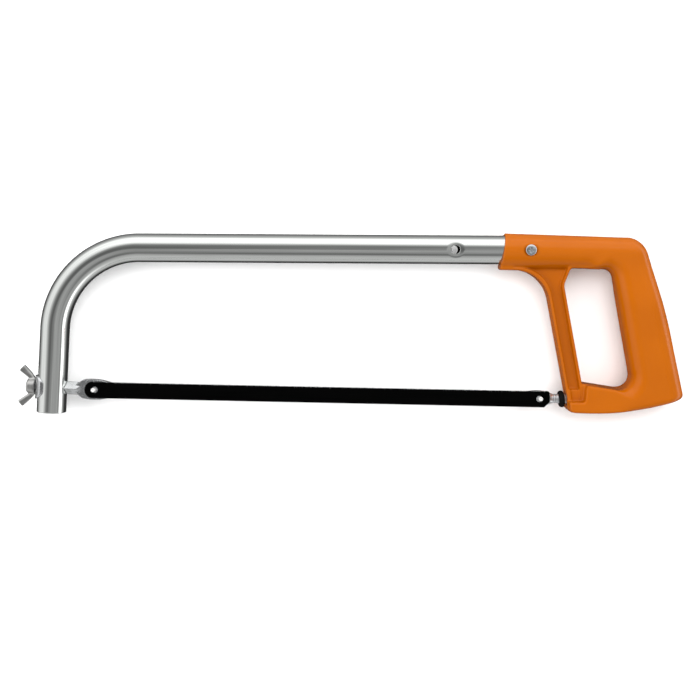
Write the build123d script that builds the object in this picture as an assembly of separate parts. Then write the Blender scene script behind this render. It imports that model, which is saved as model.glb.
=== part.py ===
from build123d import *
import os

# A 300 mm hacksaw with a bent tubular frame, lying on its side. Millimetres.
# The shapes are drawn with the front blade hole at the origin, +X along the blade towards the
# handle, +Y up to the back of the frame and Z = 0 on the middle plane of the frame. The last
# step moves them all, so that the origin is the middle of the footprint on the surface below.

# Blade
blade_pitch = 300.0
blade_end = 6.8
blade_width = 11.2
blade_thickness = 0.65
blade_hole_radius = 2.1
blade_nose_chamfer = 3.6

# Frame tube
tube_radius = 9.75
tube_wall = 1.2
leg_foot = (-29.57, -15.8)
leg_corner = (-26.95, 95.65)
tube_end = (303.0, 100.4)
bend_radius = 57.0
open_hole_x = 241.0
screw_x = 291.0
cross_hole_radius = 2.9
dimple_radius = 3.9
dimple_depth = 0.5

# Tension bolt: a stud, a square shank set on edge and a flat oval head, in line
bolt_tilt = 2.0
stud_radius = 2.93
stud_start = -46.0
shank_start = -33.5
shank_side = 6.3
shank_hole_side = 7.2
facet_start = -12.6
facet_end = -9.4
head_start = -12.4
head_end = 11.6
head_width = 13.6
head_thickness = 5.2
thread_clearance = 0.07
wall_clearance = 0.4

# Wing nut and saddle washer
saddle_thickness = 1.4
saddle_height = 15.6
saddle_width = 18.4
saddle_corner = 5.5
nut_face = -40.45
nut_end = -46.4
nut_base_radius = 5.6
nut_end_radius = 4.5
wing_thickness = 3.0
# Side view of the upper wing, from the hub out to the tip and back
wing_outline = [(-42.6, 1.5), (-44.2, 4.6), (-52.0, 10.3), (-48.8, 14.1), (-40.8, 5.3), (-41.2, 1.5)]

# Pins that hold the blade
pin_radius = 1.7
pin_tip_radius = 1.5
pin_lean = 0.2
pin_height = 3.3
pin_pull = 0.3
running_gap = 0.05

# Rear peg, its ring and its clip
peg_y = 0.2
peg_radius = 3.15
peg_end = 329.0
peg_head_width = 10.4
peg_head_start = 290.5
peg_head_end = 306.5
flare_end = 308.3
flare_radius = 4.4
bore_clearance = 0.07
ring_radius = 5.5
ring_thickness = 4.2
ring_rounding = 1.8
ring_lean = 6.5
ring_back = (317.0, 0.2)
clip_x = 325.1
clip_thickness = 1.0
clip_radius = 5.2
groove_radius = 2.5

# Handle
grip_half = 14.0
pillar_half = 7.5
web_half = 3.5
grip_round = 9.0
# The grip's section at its foot and at its top, each as (height, front X, back X)
grip_foot = (-12.0, 364.0, 402.0)
grip_top = (112.0, 340.0, 369.0)
# Corners of the side view, each with its rounding radius, clockwise from the top of the socket
handle_corners = [
    (274.3, 111.5, 1.2),
    (367.9, 110.2, 10.0),
    (385.1, 54.7, 600.0),
    (397.1, 2.4, 2.5),
    (358.3, -8.9, 190.0),
    (318.9, -8.3, 4.8),
    (318.1, 2.2, 15.0),
    (300.9, 86.6, 24.0),
    (271.3, 86.6, 0.8),
]
opening_corners = [
    (318.8, 88.8, 3.0),
    (347.3, 88.2, 7.0),
    (363.3, 6.2, 9.0),
    (327.7, 11.2, 1.2),
    (314.4, 77.2, 8.0),
]
# The recess in each side of the pillar, from under the bar down between two narrow rims
recess_corners = [
    (280.0, 96.0, 0.5),
    (319.7, 96.0, 0.5),
    (312.6, 77.4, 9.7),
    (326.3, 7.2, 1.0),
    (318.9, 7.2, 1.0),
    (302.4, 88.3, 22.0),
    (280.0, 88.3, 0.5),
]
# The thick foot behind and under the pillar, and the thinner part in front of it
foot_zone = [
    (326.5, 16.0),
    (326.5, -0.6),
    (310.0, -0.6),
    (310.0, -20.0),
    (372.0, -20.0),
    (372.0, 2.0),
    (364.0, 16.0),
]
pillar_zone = [(260.0, 92.0), (338.0, 92.0), (338.0, 50.0), (327.5, 50.0), (327.5, -20.0), (260.0, -20.0)]
bar_front = (266.0, 98.95)
bar_back = (352.0, 98.95)
bar_front_radius = 12.4
bar_back_radius = 11.2
socket_clearance = 0.05
socket_depth = 1.5
pocket_half_height = 5.8
pocket_length = 9.5
pocket_top = 5.7

# Screw and nut that hold the tube in the socket
screw_radius = 1.95
screw_head_radius = 3.75
screw_head_height = 2.4
screw_seat = 11.0
screw_seat_radius = 4.5
nut_across_flats = 7.0
nut_height = 3.0
nut_seat = -10.9
boss_radius = 6.2
boss_face = -13.4


def rounded_face(corners):
    """A flat face through corners given as (x, y, rounding radius)."""
    points = [(x, y) for x, y, radius in corners]
    radii = [radius for x, y, radius in corners]
    return make_face(FilletPolyline(*points, radius=radii, close=True).edges())


def plate(face, low, high):
    """The face drawn out along Z from low to high."""
    return extrude(Pos(0, 0, low) * face, amount=high - low)


def polygon_plate(points, half):
    return plate(make_face(Polyline(*points, close=True).edges()), -half, half)


def rod_x(radius, start, end, y=0.0):
    """A cylinder along X."""
    return Pos(start, y, 0) * Rot(0, 90, 0) * extrude(Circle(radius), amount=end - start)


def rod_z(radius, low, high, x, y):
    """A cylinder along Z."""
    return Pos(x, y, low) * extrude(Circle(radius), amount=high - low)


def along_bolt(shape):
    """Turns a shape drawn along X to the line of the tension bolt."""
    return Rot(0, 0, -bolt_tilt) * shape


def tube_y(x):
    """Height of the tube's centre line over the straight top run."""
    slope = (tube_end[1] - leg_corner[1]) / (tube_end[0] - leg_corner[0])
    return leg_corner[1] + slope * (x - leg_corner[0])


def frame_tube():
    path = FilletPolyline(leg_foot, leg_corner, tube_end, radius=bend_radius)
    section = Circle(tube_radius) - Circle(tube_radius - tube_wall)
    tube = sweep(Plane(origin=path @ 0, z_dir=path % 0) * section, path=path)
    reach = 2 * tube_radius
    for x in (open_hole_x, screw_x):
        tube -= rod_z(cross_hole_radius, -reach, reach, x, tube_y(x))
    dish = Cone(cross_hole_radius, dimple_radius, dimple_depth)
    for side in (0, 180):
        seat = Pos(open_hole_x, tube_y(open_hole_x), 0) * Rot(side, 0, 0)
        tube -= seat * Pos(0, 0, tube_radius - dimple_depth / 2) * dish
    stud_hole = rod_x(stud_radius + wall_clearance, nut_end, shank_start)
    shank_hole = square_bar(shank_hole_side, facet_start - shank_start)
    return tube - along_bolt(stud_hole) - along_bolt(shank_hole)


def square_bar(side, length):
    """A square bar on edge, from the start of the shank along X."""
    section = Pos(shank_start, 0, 0) * Rot(0, 90, 0) * Rot(0, 0, 45) * Rectangle(side, side)
    return extrude(section, amount=length)


def leg_rod(radius):
    """A long cylinder on the centre line of the frame's leg."""
    line = Line(leg_foot, leg_corner)
    return sweep(Plane(origin=line @ 0, z_dir=line % 0) * Circle(radius), path=line)


def saddle_washer():
    shell = leg_rod(tube_radius + saddle_thickness) - leg_rod(tube_radius)
    blank = Rot(0, 90, 0) * RectangleRounded(saddle_width, saddle_height, saddle_corner)
    blank = extrude(Pos(nut_end, 0, 0) * blank, amount=leg_foot[0] - nut_end)
    hole = rod_x(stud_radius + wall_clearance, nut_end, leg_foot[0])
    return (shell & along_bolt(blank)) - along_bolt(hole)


def wing_nut():
    hub = Pos(nut_face, 0, 0) * Rot(0, -90, 0) * Pos(0, 0, (nut_face - nut_end) / 2)
    hub = hub * Cone(nut_base_radius, nut_end_radius, nut_face - nut_end)
    wing = polygon_plate(wing_outline, wing_thickness / 2)
    nut = hub + wing + mirror(wing, about=Plane.XZ)
    nut -= rod_x(stud_radius + thread_clearance, nut_end - 1, nut_face + 1)
    return along_bolt(nut)


def oval(start, end, width):
    """A lens-shaped face along X."""
    middle = (start + end) / 2
    top = ThreePointArc((start, 0), (middle, width / 2), (end, 0))
    bottom = ThreePointArc((end, 0), (middle, -width / 2), (start, 0))
    return make_face([top, bottom])


def holder_head(start, end, width):
    """A flat head with rounded ends, as wide as width in its middle."""
    nose = 0.67 * width
    long_oval = plate(oval(start - nose, end + nose, width), -head_thickness / 2, head_thickness / 2)
    trim = Pos((start + end) / 2, 0, 0) * Rectangle(end - start, width)
    return long_oval & plate(trim, -head_thickness, head_thickness)


def tension_bolt():
    stud = rod_x(stud_radius, stud_start, shank_start)
    shank = square_bar(shank_side, facet_end - shank_start)
    half = head_thickness / 2
    edge = shank_side / 2 ** 0.5
    above = edge + 0.1
    slope = [(facet_start, above), (facet_end, half), (head_end, half), (head_end, above)]
    flat = Plane.XZ * make_face(Polyline(*slope, close=True).edges())
    flat = extrude(flat, amount=head_width, both=True)
    bolt = stud + shank - flat - mirror(flat, about=Plane.XY)
    bolt += holder_head(head_start, head_end, head_width)
    bolt -= rod_z(pin_radius, -half - 1, half + 1, -pin_pull, 0)
    return along_bolt(bolt)


def blade_pin(lean):
    """A pin that fills the head's hole and stands out in front, drawn on the Z axis."""
    half = head_thickness / 2
    root = Circle(pin_radius)
    tip = Pos(lean, 0, half + pin_height) * Circle(pin_tip_radius)
    post = loft([Pos(0, 0, half) * root, tip])
    post = fillet(post.faces().sort_by(Axis.Z)[-1].edges(), pin_tip_radius / 3)
    return rod_z(pin_radius, -half, half, 0, 0) + post


def front_pin():
    return along_bolt(Pos(-pin_pull, 0, 0) * blade_pin(-pin_lean))


def rear_pin():
    return Pos(blade_pitch + pin_pull, peg_y, 0) * blade_pin(pin_lean)


def blade():
    half = blade_width / 2
    right = blade_pitch + blade_end
    corners = [
        (-blade_end, half, half * 0.98),
        (right, half, 2.4),
        (right, -half + blade_nose_chamfer, 0.6),
        (right - blade_nose_chamfer, -half, 0.6),
        (-blade_end, -half, half * 0.98),
    ]
    low = head_thickness / 2 + running_gap
    strip = plate(rounded_face(corners), low, low + blade_thickness)
    for x in (0.0, blade_pitch):
        strip -= rod_z(blade_hole_radius, low - 1, low + 2, x, 0)
    return strip


def rear_peg():
    stem = rod_x(peg_radius, peg_head_end - 4, peg_end)
    flare_length = flare_end - peg_head_end + 2
    flare = Rot(0, 90, 0) * Cone(flare_radius, peg_radius, flare_length)
    flare = Pos(flare_end - flare_length / 2, 0, 0) * flare
    block = Pos(peg_head_end, 0, 0) * Box(12, 20, head_thickness)
    peg = stem + (flare & (Pos(6, 0, 0) * block + rod_x(flare_radius, peg_head_end - 1, flare_end)))
    peg += holder_head(peg_head_start, peg_head_end, peg_head_width)
    half = head_thickness / 2
    over_blade = Box(peg_head_end - peg_head_start + 1, 20, 4, align=(Align.MAX, Align.CENTER, Align.MIN))
    peg -= Pos(peg_head_end + 1, 0, half) * over_blade
    peg -= rod_z(pin_radius, -half - 1, half + 1, blade_pitch + pin_pull, 0)
    return Pos(0, peg_y, 0) * (peg - groove_ring(peg_radius + 1))


def groove_ring(radius):
    """A flat ring that fills the peg's groove, out to a radius."""
    end = clip_x + clip_thickness
    return rod_x(radius, clip_x, end) - rod_x(groove_radius, clip_x, end)


def peg_clip():
    mouth = Pos(clip_x, 0, clip_radius) * Box(4, 2 * groove_radius - 0.6, 2 * clip_radius)
    return Pos(0, peg_y, 0) * (groove_ring(clip_radius) - mouth)


def peg_ring():
    """A fat rubber ring that leans against the hollow front face of the foot."""
    bore = peg_radius + 0.25
    section = Pos((ring_radius + bore) / 2, 0, 0) * Rectangle(ring_radius - bore, ring_thickness)
    section = fillet(section.vertices().sort_by(Axis.X)[-2:], ring_rounding)
    ring = revolve(Plane.XZ * section, axis=Axis.Z)
    ring = Rot(0, 0, ring_lean) * Rot(0, 90, 0) * Pos(0, 0, -ring_thickness / 2) * ring
    return Pos(*ring_back, 0) * (ring - rod_x(bore, -ring_radius, ring_radius))


def socket_bar():
    """The round bar along the top of the casting, which holds the tube."""
    length = bar_back[0] - bar_front[0]
    bar = Pos(bar_front[0] + length / 2, bar_front[1], 0) * Rot(0, 90, 0)
    return bar * Cone(bar_front_radius, bar_back_radius, length)


def grip_section(height, front, back):
    level = Plane(origin=((front + back) / 2, height, 0), x_dir=(1, 0, 0), z_dir=(0, 1, 0))
    return level * RectangleRounded(back - front, 2 * grip_half, grip_round)


def grip_body():
    """The slanting grip, with its long edges rounded for the hand."""
    return loft([grip_section(*grip_foot), grip_section(*grip_top)])


def handle():
    outline = rounded_face(handle_corners)
    opening = rounded_face(opening_corners)
    slab = plate(outline, -grip_half, grip_half)
    grip = slab & (grip_body() + polygon_plate(foot_zone, grip_half))
    pillar = plate(outline, -pillar_half, pillar_half) & polygon_plate(pillar_zone, grip_half)
    recess = rounded_face(recess_corners)
    pillar -= plate(recess, web_half, grip_half)
    pillar -= plate(recess, -grip_half, -web_half)
    bar = slab & socket_bar()
    cast = grip + pillar + bar
    cast += rod_z(boss_radius, boss_face, -tube_radius, screw_x, tube_y(screw_x))
    cast -= plate(opening, -grip_half - 1, grip_half + 1)
    return cast - socket_bore() - screw_holes() - peg_pocket()


def socket_bore():
    start = tube_end[0] - 60
    depth = tube_end[0] + socket_depth
    line = Line((start, tube_y(start)), (depth, tube_y(depth)))
    return sweep(Plane(origin=line @ 0, z_dir=line % 0) * Circle(tube_radius + socket_clearance), path=line)


def screw_holes():
    y = tube_y(screw_x)
    holes = rod_z(screw_radius + socket_clearance, -grip_half - 1, grip_half + 1, screw_x, y)
    holes += rod_z(screw_seat_radius, screw_seat, grip_half + 1, screw_x, y)
    pocket = Pos(screw_x, y, -grip_half - 1) * hexagon()
    return holes + extrude(pocket, amount=nut_seat + grip_half + 1)


def hexagon():
    return RegularPolygon(nut_across_flats / 2, 6, major_radius=False)


def peg_pocket():
    """The bore for the peg and the pocket behind it, open to the far side, where the clip goes in."""
    wall = clip_x - 0.1
    bore = rod_x(peg_radius + bore_clearance, 300, wall + 1, peg_y)
    low = -grip_half - 1
    pocket = plate(Rectangle(pocket_length, 2 * pocket_half_height), low, pocket_top)
    return bore + Pos(wall + pocket_length / 2, peg_y, 0) * pocket


def handle_screw():
    y = tube_y(screw_x)
    head = rod_z(screw_head_radius, screw_seat, screw_seat + screw_head_height, screw_x, y)
    head = fillet(head.faces().sort_by(Axis.Z)[-1].edges(), 1.2)
    shank = rod_z(screw_radius, nut_seat - nut_height + 0.3, screw_seat, screw_x, y)
    cross = Pos(screw_x, y, screw_seat + screw_head_height) * (Box(4.2, 0.9, 2.4) + Box(0.9, 4.2, 2.4))
    return head + shank - cross


def handle_nut():
    y = tube_y(screw_x)
    blank = RegularPolygon(nut_across_flats / 2 - 0.05, 6, major_radius=False)
    nut = extrude(Pos(screw_x, y, nut_seat - nut_height) * blank, amount=nut_height)
    return nut - rod_z(screw_radius, -grip_half - 1, 0, screw_x, y)


def make_pieces():
    return {
        "frame_tube": frame_tube(),
        "handle": handle(),
        "handle_screw": handle_screw(),
        "handle_nut": handle_nut(),
        "saddle_washer": saddle_washer(),
        "wing_nut": wing_nut(),
        "tension_bolt": tension_bolt(),
        "front_pin": front_pin(),
        "blade": blade(),
        "rear_peg": rear_peg(),
        "rear_pin": rear_pin(),
        "peg_ring": peg_ring(),
        "peg_clip": peg_clip(),
    }


def footprint_middle(pieces):
    """The offset that brings the middle of the footprint on the surface to the origin."""
    boxes = [shape.bounding_box() for shape in pieces.values()]
    low_x = min(box.min.X for box in boxes)
    high_x = max(box.max.X for box in boxes)
    low_y = min(box.min.Y for box in boxes)
    high_y = max(box.max.Y for box in boxes)
    low_z = min(box.min.Z for box in boxes)
    return Pos(-(low_x + high_x) / 2, -(low_y + high_y) / 2, -low_z)


pieces = make_pieces()
offset = footprint_middle(pieces)
os.makedirs("parts", exist_ok=True)
for name, shape in pieces.items():
    export_step(offset * shape, f"parts/{name}.step")
print("offset", offset.position)
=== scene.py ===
"""The looks of a 300 mm tubular hacksaw that lies on its side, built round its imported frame.

Every piece is a closed mesh. Most are made from a distance function: it gives the distance in
millimetres from a point to the piece's surface, negative inside, and surface_mesh() draws the
surface where it is zero. The functions use the drawing frame of the saw: the front blade hole is
the origin, +X runs along the blade to the handle, +Y up to the tube and +Z out of the near side.
Shapes are joined with both(), either() and cut(), whose third value rounds the new edge, in mm.
"""

import math

import bpy
import numpy as np
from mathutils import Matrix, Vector
from mathutils.geometry import delaunay_2d_cdt


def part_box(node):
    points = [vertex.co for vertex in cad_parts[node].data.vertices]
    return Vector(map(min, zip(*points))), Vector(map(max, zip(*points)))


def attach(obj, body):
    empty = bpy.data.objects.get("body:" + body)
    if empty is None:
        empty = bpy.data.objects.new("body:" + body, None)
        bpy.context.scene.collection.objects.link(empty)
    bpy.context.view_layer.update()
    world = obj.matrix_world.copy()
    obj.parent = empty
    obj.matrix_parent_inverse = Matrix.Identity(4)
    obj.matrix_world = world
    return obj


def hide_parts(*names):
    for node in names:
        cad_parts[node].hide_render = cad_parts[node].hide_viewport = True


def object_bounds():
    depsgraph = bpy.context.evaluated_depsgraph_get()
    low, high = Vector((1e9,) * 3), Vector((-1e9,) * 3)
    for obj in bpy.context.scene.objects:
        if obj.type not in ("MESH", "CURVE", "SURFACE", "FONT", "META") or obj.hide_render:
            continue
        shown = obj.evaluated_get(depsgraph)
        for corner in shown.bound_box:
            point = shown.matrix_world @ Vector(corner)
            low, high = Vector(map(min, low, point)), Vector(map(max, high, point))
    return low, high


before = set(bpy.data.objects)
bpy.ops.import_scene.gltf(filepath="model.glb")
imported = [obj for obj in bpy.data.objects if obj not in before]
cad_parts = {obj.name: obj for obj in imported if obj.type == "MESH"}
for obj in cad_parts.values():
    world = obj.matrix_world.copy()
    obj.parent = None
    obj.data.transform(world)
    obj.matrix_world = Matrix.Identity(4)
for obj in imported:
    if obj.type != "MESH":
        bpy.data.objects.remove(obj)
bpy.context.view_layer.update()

MM = 0.001

# Blade sizes in mm, as in the CAD part, but with holes 0.1 mm larger in radius
blade_pitch = 300.0
blade_end = 6.8
blade_width = 11.2
blade_low = 2.65
blade_thickness = 0.65
blade_hole_radius = 2.2

# Frame tube, as in the CAD part: the corners of its centre line and its section
leg_foot = np.array((-29.57, -15.8))
leg_corner = np.array((-26.95, 95.65))
tube_end = np.array((303.0, 100.4))
bend_radius = 57.0
tube_radius = 9.75
tube_wall = 1.2
open_hole_x = 241.0
screw_x = 291.0
cross_hole_radius = 2.9
run_direction = (tube_end - leg_corner) / np.hypot(*(tube_end - leg_corner))
leg_direction = (leg_foot - leg_corner) / np.hypot(*(leg_foot - leg_corner))

# Tension bolt and wing nut, with places along the bolt from the front blade hole
bolt_tilt = math.radians(2.0)
bolt_hole_radius = 3.33
stud_radius = 2.76
stud_start = -46.0
shank_start = -33.5
shank_end = -9.4
shank_half = 3.15
head_thickness = 5.2
nut_face = -40.45
nut_end = -46.4
thread_ridge = 0.17
thread_clearance = 0.07

# Rear peg: its axis, radius and end, and its clip's place along it
peg_y = 0.2
peg_radius = 3.15
peg_end = 329.0
clip_start = 325.1
clip_end = 326.1
groove_radius = 2.5

# Half thicknesses of the handle
grip_half = 14.0
pillar_half = 7.5
web_half = 3.5

# Screw and nut through the socket
screw_seat = 11.0
screw_seat_radius = 4.5
screw_head_radius = 3.75
screw_end = -13.6
screw_radius = 1.83
nut_half_width = 3.45
nut_seat = -10.9
nut_outer_face = -13.9


def drawing_origin():
    """Where the drawing frame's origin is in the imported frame, in mm."""
    low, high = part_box("blade")
    middle = (low.y + high.y) / 2
    return np.array((low.x / MM + blade_end, middle / MM, low.z / MM - blade_low))


ORIGIN = drawing_origin()


# --- Distances ---


def both(a, b, radius=0.0):
    """The overlap of two solids, with its edge rounded."""
    past_a = np.maximum(a + radius, 0)
    past_b = np.maximum(b + radius, 0)
    return np.minimum(np.maximum(a, b), -radius) + np.hypot(past_a, past_b)


def either(a, b, radius=0.0):
    """Two solids together, with a fillet where they meet."""
    return -both(-a, -b, radius)


def cut(a, b, radius=0.0):
    """The first solid without the second, with the new edge rounded."""
    return both(a, -b, radius)


def between(value, low, high):
    """A slab from low to high."""
    return np.maximum(low - value, value - high)


def ease(value, start, end):
    """0 before start and 1 after end, with a smooth step between."""
    t = np.clip((value - start) / (end - start), 0, 1)
    return t * t * (3 - 2 * t)


def box_2d(x, y, half_x, half_y, radius):
    """A rectangle about the origin with rounded corners."""
    over_x = np.abs(x) - half_x + radius
    over_y = np.abs(y) - half_y + radius
    outside = np.hypot(np.maximum(over_x, 0), np.maximum(over_y, 0))
    return outside + np.minimum(np.maximum(over_x, over_y), 0) - radius


def rounded_outline(corners):
    """Points round a closed outline given as (x, y, rounding radius)."""
    flatness = 0.003
    points = []
    places = np.array([corner[:2] for corner in corners], float)
    for i, (x, y, radius) in enumerate(corners):
        here = places[i]
        back = places[i - 1] - here
        ahead = places[(i + 1) % len(places)] - here
        back = back / np.hypot(*back)
        ahead = ahead / np.hypot(*ahead)
        half_angle = math.acos(float(back @ ahead)) / 2
        middle = (back + ahead) / np.hypot(*(back + ahead))
        centre = here + middle * radius / math.sin(half_angle)
        first = here + back * radius / math.tan(half_angle) - centre
        last = here + ahead * radius / math.tan(half_angle) - centre
        start = math.atan2(first[1], first[0])
        turn = (math.atan2(last[1], last[0]) - start + math.pi) % (2 * math.pi) - math.pi
        steps = max(3, math.ceil(abs(turn) / math.sqrt(8 * flatness / max(radius, 0.05))))
        for t in np.linspace(0, 1, steps + 1):
            angle = start + turn * t
            points.append(centre + radius * np.array((math.cos(angle), math.sin(angle))))
    return np.array(points)


def outline_distance(corners, margin=16.0, pitch=0.3):
    """The distance in XY from a rounded outline, as a function that reads it from a fine grid."""
    points = rounded_outline(corners)
    low = points.min(0) - margin
    size = np.ceil((points.max(0) + margin - low) / pitch).astype(int) + 1
    x = (low[0] + pitch * np.arange(size[0]))[:, None]
    y = (low[1] + pitch * np.arange(size[1]))[None, :]
    nearest = np.full(size, np.inf)
    inside = np.zeros(size, bool)
    for (ax, ay), (bx, by) in zip(points, np.roll(points, -1, axis=0)):
        dx, dy = bx - ax, by - ay
        px, py = x - ax, y - ay
        t = np.clip((px * dx + py * dy) / (dx * dx + dy * dy + 1e-12), 0, 1)
        nearest = np.minimum(nearest, (px - t * dx) ** 2 + (py - t * dy) ** 2)
        inside ^= ((ay > y) != (by > y)) & ((px * dy - py * dx) * dy < 0)
    table = np.where(inside, -1, 1) * np.sqrt(nearest)

    def distance(x, y):
        u = np.clip((x - low[0]) / pitch, 0, size[0] - 1.001)
        v = np.clip((y - low[1]) / pitch, 0, size[1] - 1.001)
        i, j = u.astype(int), v.astype(int)
        u, v = u - i, v - j
        near = table[i, j] * (1 - v) + table[i, j + 1] * v
        far = table[i + 1, j] * (1 - v) + table[i + 1, j + 1] * v
        return near * (1 - u) + far * u

    return distance


def along_line(x, y, start, direction):
    """How far a point lies along a line in XY."""
    return (x - start[0]) * direction[0] + (y - start[1]) * direction[1]


def beside_line(x, y, start, direction):
    """How far a point lies to the left of a line in XY."""
    return -(x - start[0]) * direction[1] + (y - start[1]) * direction[0]


def along_bolt(x, y):
    """A point's place along and across the tilted tension bolt."""
    return (
        x * math.cos(bolt_tilt) - y * math.sin(bolt_tilt),
        x * math.sin(bolt_tilt) + y * math.cos(bolt_tilt),
    )


def tube_y(x):
    """Height of the tube's centre line over its straight top run."""
    slope = (tube_end[1] - leg_corner[1]) / (tube_end[0] - leg_corner[0])
    return leg_corner[1] + slope * (x - leg_corner[0])


def bolt_thread(u, v, z):
    """The height of the 1 mm pitch thread of the bolt and the nut."""
    around = np.arctan2(z, v)
    return thread_ridge * np.cos(2 * math.pi * u - around)


# --- Meshes ---


def surface_net(field):
    """Points and four-sided faces of the zero surface of a grid of distances, in grid steps."""
    cells = tuple(n - 1 for n in field.shape)
    total = np.zeros(cells + (3,))
    count = np.zeros(cells, int)
    edges = []
    for axis in range(3):
        u, v = (axis + 1) % 3, (axis + 2) % 3
        a = np.moveaxis(np.moveaxis(field, axis, 0)[:-1], 0, axis)
        b = np.moveaxis(np.moveaxis(field, axis, 0)[1:], 0, axis)
        crossing = (a < 0) != (b < 0)
        t = np.where(crossing, a / np.where(crossing, a - b, 1), 0)
        for du in (0, 1):
            for dv in (0, 1):
                pick = [slice(None)] * 3
                pick[u] = slice(du, du + cells[u])
                pick[v] = slice(dv, dv + cells[v])
                hit = crossing[tuple(pick)]
                count += hit
                total[..., axis] += t[tuple(pick)]
                total[..., u] += du * hit
                total[..., v] += dv * hit
        place = np.argwhere(crossing)
        limit = np.array(field.shape) - 1
        kept = (place[:, u] > 0) & (place[:, v] > 0)
        kept &= (place[:, u] < limit[u]) & (place[:, v] < limit[v])
        place = place[kept]
        edges.append((u, v, place, a[tuple(place.T)] < 0))
    used = count > 0
    number = np.full(cells, -1)
    number[used] = np.arange(used.sum())
    points = np.argwhere(used) + total[used] / count[used][:, None]
    faces = []
    for u, v, place, outward in edges:
        ring = []
        for du, dv in ((1, 1), (0, 1), (0, 0), (1, 0)):
            cell = place.copy()
            cell[:, u] -= du
            cell[:, v] -= dv
            ring.append(number[tuple(cell.T)])
        quads = np.stack(ring, axis=1)
        quads[~outward] = quads[~outward][:, ::-1]
        faces.append(quads)
    return points, np.concatenate(faces)


def slope_of(distance, points, reach=0.03):
    """The direction and rate at which a distance grows at each point."""
    slope = np.empty_like(points)
    for axis in range(3):
        step = np.zeros(3)
        step[axis] = reach
        ahead = distance(*(points + step).T)
        behind = distance(*(points - step).T)
        slope[:, axis] = (ahead - behind) / (2 * reach)
    return slope


def surface_mesh(name, distance, low, high, step, exact_normals=False):
    """A smooth closed mesh of the surface where distance(x, y, z) is zero, inside a box."""
    axes = [np.arange(a - 2.5 * step, b + 3.5 * step, step) for a, b in zip(low, high)]
    x, y, z = axes[0][:, None, None], axes[1][None, :, None], axes[2][None, None, :]
    shape = tuple(len(a) for a in axes)
    field = np.broadcast_to(distance(x, y, z), shape)
    points, faces = surface_net(field)
    points = np.array([a[0] for a in axes]) + points * step
    # Four rounds move each point along the slope of the distance onto the surface
    for _ in range(4):
        slope = slope_of(distance, points)
        value = distance(*points.T)
        move = -value / np.maximum((slope ** 2).sum(1), 0.2)
        points = points + np.clip(move, -step / 2, step / 2)[:, None] * slope
    normals = slope_of(distance, points) if exact_normals else None
    return mesh_object(name, points, faces, normals)


def mesh_object(name, points, faces, normals=None):
    """A mesh from points in mm in the drawing frame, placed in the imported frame."""
    mesh = bpy.data.meshes.new(name)
    mesh.from_pydata(((points + ORIGIN) * MM).tolist(), [], [list(face) for face in faces])
    mesh.shade_smooth()
    if normals is not None:
        lengths = np.linalg.norm(normals, axis=1)[:, None]
        mesh.normals_split_custom_set_from_vertices((normals / lengths).tolist())
    piece = bpy.data.objects.new(name, mesh)
    bpy.context.scene.collection.objects.link(piece)
    return piece


def fit_out(piece, body, node, material):
    """Lets a piece stand for a CAD node, with its finish."""
    piece.data.materials.append(material)
    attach(piece, body)
    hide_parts(node)
    return piece


# --- Materials ---


class Finish:
    """A material whose colour, roughness and relief come from noise at real sizes."""

    def __init__(self, name, metallic=0.0, coat=0.0, coat_roughness=0.1, specular=0.5):
        self.material = bpy.data.materials.new(name)
        self.material.use_nodes = True
        self.nodes = self.material.node_tree.nodes
        self.links = self.material.node_tree.links
        self.shader = self.nodes["Principled BSDF"]
        self.shader.inputs["Metallic"].default_value = metallic
        self.shader.inputs["Coat Weight"].default_value = coat
        self.shader.inputs["Coat Roughness"].default_value = coat_roughness
        self.shader.inputs["Specular IOR Level"].default_value = specular
        self.relief = None

    def noise(self, size, stretch=(1, 1, 1), detail=3.0, attribute=None):
        """Noise with spots about size mm across, drawn out by stretch."""
        if attribute:
            place = self.nodes.new("ShaderNodeAttribute")
            place.attribute_name = attribute
            socket = place.outputs["Vector"]
        else:
            socket = self.nodes.new("ShaderNodeTexCoord").outputs["Object"]
        mapping = self.nodes.new("ShaderNodeMapping")
        mapping.inputs["Scale"].default_value = [1 / (s * size * MM) for s in stretch]
        noise = self.nodes.new("ShaderNodeTexNoise")
        noise.inputs["Scale"].default_value = 1.0
        noise.inputs["Detail"].default_value = detail
        self.links.new(socket, mapping.inputs["Vector"])
        self.links.new(mapping.outputs["Vector"], noise.inputs["Vector"])
        return noise.outputs["Fac"]

    def spread(self, source, low, high, start=0.3, end=0.7):
        """Turns noise from start to end into values from low to high."""
        node = self.nodes.new("ShaderNodeMapRange")
        node.interpolation_type = "SMOOTHSTEP"
        node.inputs["From Min"].default_value = start
        node.inputs["From Max"].default_value = end
        node.inputs["To Min"].default_value = low
        node.inputs["To Max"].default_value = high
        self.links.new(source, node.inputs["Value"])
        return node.outputs["Result"]

    def colour(self, factor, first, second):
        """Blends two colours by a noise."""
        node = self.nodes.new("ShaderNodeMix")
        node.data_type = "RGBA"
        node.inputs["A"].default_value = (*first, 1.0)
        node.inputs["B"].default_value = (*second, 1.0)
        self.links.new(factor, node.inputs["Factor"])
        self.links.new(node.outputs["Result"], self.shader.inputs["Base Color"])
        return self

    def roughness(self, source):
        """Takes the roughness from a noise."""
        self.links.new(source, self.shader.inputs["Roughness"])
        return self

    def bump(self, source, height):
        """Adds relief of a height in mm."""
        node = self.nodes.new("ShaderNodeBump")
        node.inputs["Distance"].default_value = height * MM
        self.links.new(source, node.inputs["Height"])
        if self.relief:
            self.links.new(self.relief, node.inputs["Normal"])
        self.relief = node.outputs["Normal"]
        self.links.new(self.relief, self.shader.inputs["Normal"])
        return self


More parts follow.
